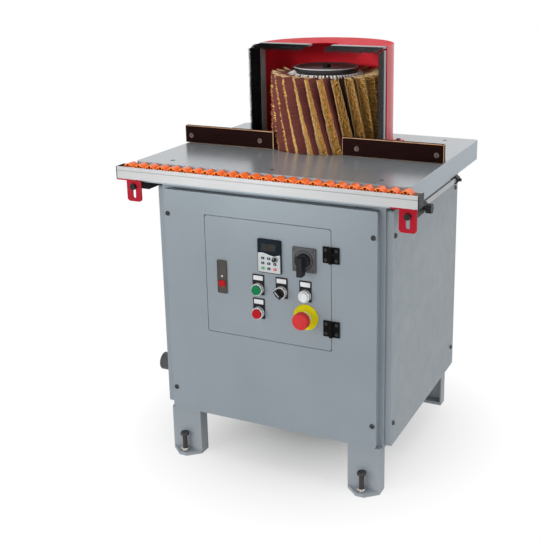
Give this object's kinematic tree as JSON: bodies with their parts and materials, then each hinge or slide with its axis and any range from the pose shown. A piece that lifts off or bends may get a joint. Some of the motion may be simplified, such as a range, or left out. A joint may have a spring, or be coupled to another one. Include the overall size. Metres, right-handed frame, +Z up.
{
  "type": "edge sander",
  "caption": "Floor-standing edge sander: a slanted flap brush spins upright behind two fences under a half-round dust hood, with a roller rail that slides out in front.",
  "frame": {"origin": "on the floor, under the centre of the bounding box and of the table", "axes": "+Z up, -Y towards the operator at the front, +X to the operator's right"},
  "size_m": [0.7547, 0.626, 1.0062],
  "materials": {
    "cabinet_paint": "fine textured powder coat",
    "table_paint": "fine textured powder coat",
    "fence_wood": "dark film-faced board",
    "red_paint": "satin red paint",
    "seal_bristle": "black bristles",
    "motor_housing": "painted finned housing",
    "drive_plastic": "moulded",
    "black_steel": "blackened",
    "black_plastic": "moulded",
    "legend_plastic": "moulded",
    "inlet_plastic": "moulded",
    "rod_steel": "ground",
    "rail_aluminium": "anodised",
    "roller_plastic": "moulded",
    "bezel_metal": "satin",
    "keypad_face": "printed foil",
    "latch_plastic": "moulded",
    "red_plastic": "moulded",
    "green_plastic": "moulded",
    "hub_aluminium": "machined",
    "disc_steel": "turned",
    "abrasive_cloth": "coated abrasive cloth",
    "sisal_bristle": "stiff natural fibre"
  },
  "bodies": {
    "cabinet": {"cabinet_frame": "cabinet_paint", "front_panel": "cabinet_paint", "cover_panels": "cabinet_paint", "work_table": "table_paint", "fences": "fence_wood", "dust_hood": "red_paint", "hood_brush_strips": "seal_bristle", "brush_motor": "motor_housing", "drive_panel": "drive_plastic", "fasteners": "black_steel", "rod_guides": "black_plastic", "hinge_fixed_leaves": "black_plastic", "power_inlet": "inlet_plastic"},
    "extension": {"slide_rods": "rod_steel"},
    "rail": {"roller_rail": "rail_aluminium", "rail_end_caps": "black_plastic", "rail_brackets": "red_paint"},
    "door": {"control_door": "cabinet_paint", "hinge_door_leaves": "black_plastic", "legend_plates": "legend_plastic", "control_bezels": "bezel_metal", "speed_keypad": "keypad_face", "latch_body": "latch_plastic"},
    "spindle": {"spindle_hub": "hub_aluminium", "clamp_disc": "disc_steel", "brush_flaps": "abrasive_cloth", "flap_bristles": "sisal_bristle"},
    "clamp_knob_left": {"clamp_knob_left": "black_plastic"},
    "clamp_knob_right": {"clamp_knob_right": "black_plastic"},
    "keypad_knob": {"keypad_knob": "black_plastic"},
    "latch_button": {"latch_button": "red_plastic"},
    "main_switch_knob": {"main_switch_knob": "black_plastic"},
    "start_button": {"start_button": "green_plastic"},
    "stop_button": {"stop_button": "red_plastic"},
    "selector_knob": {"selector_knob": "black_plastic"},
    "estop_head": {"estop_head": "red_plastic"},
    "roller_01": {"roller_01": "roller_plastic"},
    "roller_02": {"roller_02": "roller_plastic"},
    "roller_03": {"roller_03": "roller_plastic"},
    "roller_04": {"roller_04": "roller_plastic"},
    "roller_05": {"roller_05": "roller_plastic"},
    "roller_06": {"roller_06": "roller_plastic"},
    "roller_07": {"roller_07": "roller_plastic"},
    "roller_08": {"roller_08": "roller_plastic"},
    "roller_09": {"roller_09": "roller_plastic"},
    "roller_10": {"roller_10": "roller_plastic"},
    "roller_11": {"roller_11": "roller_plastic"},
    "roller_12": {"roller_12": "roller_plastic"},
    "roller_13": {"roller_13": "roller_plastic"},
    "roller_14": {"roller_14": "roller_plastic"},
    "roller_15": {"roller_15": "roller_plastic"},
    "roller_16": {"roller_16": "roller_plastic"},
    "roller_17": {"roller_17": "roller_plastic"},
    "roller_18": {"roller_18": "roller_plastic"},
    "roller_19": {"roller_19": "roller_plastic"},
    "roller_20": {"roller_20": "roller_plastic"},
    "roller_21": {"roller_21": "roller_plastic"},
    "roller_22": {"roller_22": "roller_plastic"},
    "roller_23": {"roller_23": "roller_plastic"},
    "roller_24": {"roller_24": "roller_plastic"}
  },
  "joints": [
    {"name": "brush_spin", "type": "hinge", "parent": "cabinet", "child": "spindle", "pos_m": [-0.005, 0.0875, 0.85], "axis": [0, 0, 1], "continuous": true},
    {"name": "rail_extend", "type": "slide", "parent": "cabinet", "child": "extension", "axis": [0, -1, 0], "range_m": [0, 0.25]},
    {"name": "rail_height", "type": "slide", "parent": "extension", "child": "rail", "axis": [0, 0, 1], "range_m": [0, 0.024]},
    {"name": "roller_01_spin", "type": "hinge", "parent": "rail", "child": "roller_01", "pos_m": [-0.345, -0.296, 0.7375], "axis": [0, 1, 0], "continuous": true},
    {"name": "roller_02_spin", "type": "hinge", "parent": "rail", "child": "roller_02", "pos_m": [-0.315, -0.296, 0.7375], "axis": [0, 1, 0], "continuous": true},
    {"name": "roller_03_spin", "type": "hinge", "parent": "rail", "child": "roller_03", "pos_m": [-0.285, -0.296, 0.7375], "axis": [0, 1, 0], "continuous": true},
    {"name": "roller_04_spin", "type": "hinge", "parent": "rail", "child": "roller_04", "pos_m": [-0.255, -0.296, 0.7375], "axis": [0, 1, 0], "continuous": true},
    {"name": "roller_05_spin", "type": "hinge", "parent": "rail", "child": "roller_05", "pos_m": [-0.225, -0.296, 0.7375], "axis": [0, 1, 0], "continuous": true},
    {"name": "roller_06_spin", "type": "hinge", "parent": "rail", "child": "roller_06", "pos_m": [-0.195, -0.296, 0.7375], "axis": [0, 1, 0], "continuous": true},
    {"name": "roller_07_spin", "type": "hinge", "parent": "rail", "child": "roller_07", "pos_m": [-0.165, -0.296, 0.7375], "axis": [0, 1, 0], "continuous": true},
    {"name": "roller_08_spin", "type": "hinge", "parent": "rail", "child": "roller_08", "pos_m": [-0.135, -0.296, 0.7375], "axis": [0, 1, 0], "continuous": true},
    {"name": "roller_09_spin", "type": "hinge", "parent": "rail", "child": "roller_09", "pos_m": [-0.105, -0.296, 0.7375], "axis": [0, 1, 0], "continuous": true},
    {"name": "roller_10_spin", "type": "hinge", "parent": "rail", "child": "roller_10", "pos_m": [-0.075, -0.296, 0.7375], "axis": [0, 1, 0], "continuous": true},
    {"name": "roller_11_spin", "type": "hinge", "parent": "rail", "child": "roller_11", "pos_m": [-0.045, -0.296, 0.7375], "axis": [0, 1, 0], "continuous": true},
    {"name": "roller_12_spin", "type": "hinge", "parent": "rail", "child": "roller_12", "pos_m": [-0.015, -0.296, 0.7375], "axis": [0, 1, 0], "continuous": true},
    {"name": "roller_13_spin", "type": "hinge", "parent": "rail", "child": "roller_13", "pos_m": [0.015, -0.296, 0.7375], "axis": [0, 1, 0], "continuous": true},
    {"name": "roller_14_spin", "type": "hinge", "parent": "rail", "child": "roller_14", "pos_m": [0.045, -0.296, 0.7375], "axis": [0, 1, 0], "continuous": true},
    {"name": "roller_15_spin", "type": "hinge", "parent": "rail", "child": "roller_15", "pos_m": [0.075, -0.296, 0.7375], "axis": [0, 1, 0], "continuous": true},
    {"name": "roller_16_spin", "type": "hinge", "parent": "rail", "child": "roller_16", "pos_m": [0.105, -0.296, 0.7375], "axis": [0, 1, 0], "continuous": true},
    {"name": "roller_17_spin", "type": "hinge", "parent": "rail", "child": "roller_17", "pos_m": [0.135, -0.296, 0.7375], "axis": [0, 1, 0], "continuous": true},
    {"name": "roller_18_spin", "type": "hinge", "parent": "rail", "child": "roller_18", "pos_m": [0.165, -0.296, 0.7375], "axis": [0, 1, 0], "continuous": true},
    {"name": "roller_19_spin", "type": "hinge", "parent": "rail", "child": "roller_19", "pos_m": [0.195, -0.296, 0.7375], "axis": [0, 1, 0], "continuous": true},
    {"name": "roller_20_spin", "type": "hinge", "parent": "rail", "child": "roller_20", "pos_m": [0.225, -0.296, 0.7375], "axis": [0, 1, 0], "continuous": true},
    {"name": "roller_21_spin", "type": "hinge", "parent": "rail", "child": "roller_21", "pos_m": [0.255, -0.296, 0.7375], "axis": [0, 1, 0], "continuous": true},
    {"name": "roller_22_spin", "type": "hinge", "parent": "rail", "child": "roller_22", "pos_m": [0.285, -0.296, 0.7375], "axis": [0, 1, 0], "continuous": true},
    {"name": "roller_23_spin", "type": "hinge", "parent": "rail", "child": "roller_23", "pos_m": [0.315, -0.296, 0.7375], "axis": [0, 1, 0], "continuous": true},
    {"name": "roller_24_spin", "type": "hinge", "parent": "rail", "child": "roller_24", "pos_m": [0.345, -0.296, 0.7375], "axis": [0, 1, 0], "continuous": true},
    {"name": "door_swing", "type": "hinge", "parent": "cabinet", "child": "door", "pos_m": [0.163, -0.2809, 0.4905], "axis": [0, 0, 1], "range_deg": [0, 110]},
    {"name": "main_switch_turn", "type": "hinge", "parent": "door", "child": "main_switch_knob", "pos_m": [0.09682, -0.2755, 0.55789], "axis": [0, 1, 0], "range_deg": [0, 90]},
    {"name": "selector_turn", "type": "hinge", "parent": "door", "child": "selector_knob", "pos_m": [0.03814, -0.2755, 0.47233], "axis": [0, 1, 0], "range_deg": [0, 90]},
    {"name": "speed_knob_turn", "type": "hinge", "parent": "door", "child": "keypad_knob", "pos_m": [0.02413, -0.2755, 0.55044], "axis": [0, 1, 0], "range_deg": [-135, 135]},
    {"name": "start_push", "type": "slide", "parent": "door", "child": "start_button", "axis": [0, 1, 0], "range_m": [0, 0.004], "stiffness_N_per_m": 800},
    {"name": "stop_push", "type": "slide", "parent": "door", "child": "stop_button", "axis": [0, 1, 0], "range_m": [0, 0.004], "stiffness_N_per_m": 800},
    {"name": "estop_push", "type": "slide", "parent": "door", "child": "estop_head", "axis": [0, 1, 0], "range_m": [0, 0.006]},
    {"name": "latch_push", "type": "slide", "parent": "door", "child": "latch_button", "axis": [0, 1, 0], "range_m": [0, 0.003], "stiffness_N_per_m": 600},
    {"name": "clamp_left_turn", "type": "hinge", "parent": "cabinet", "child": "clamp_knob_left", "pos_m": [-0.36, -0.21116, 0.69], "axis": [1, 0, 0], "range_deg": [0, 180]},
    {"name": "clamp_right_turn", "type": "hinge", "parent": "cabinet", "child": "clamp_knob_right", "pos_m": [0.36, -0.21116, 0.69], "axis": [1, 0, 0], "range_deg": [0, 180]}
  ]
}
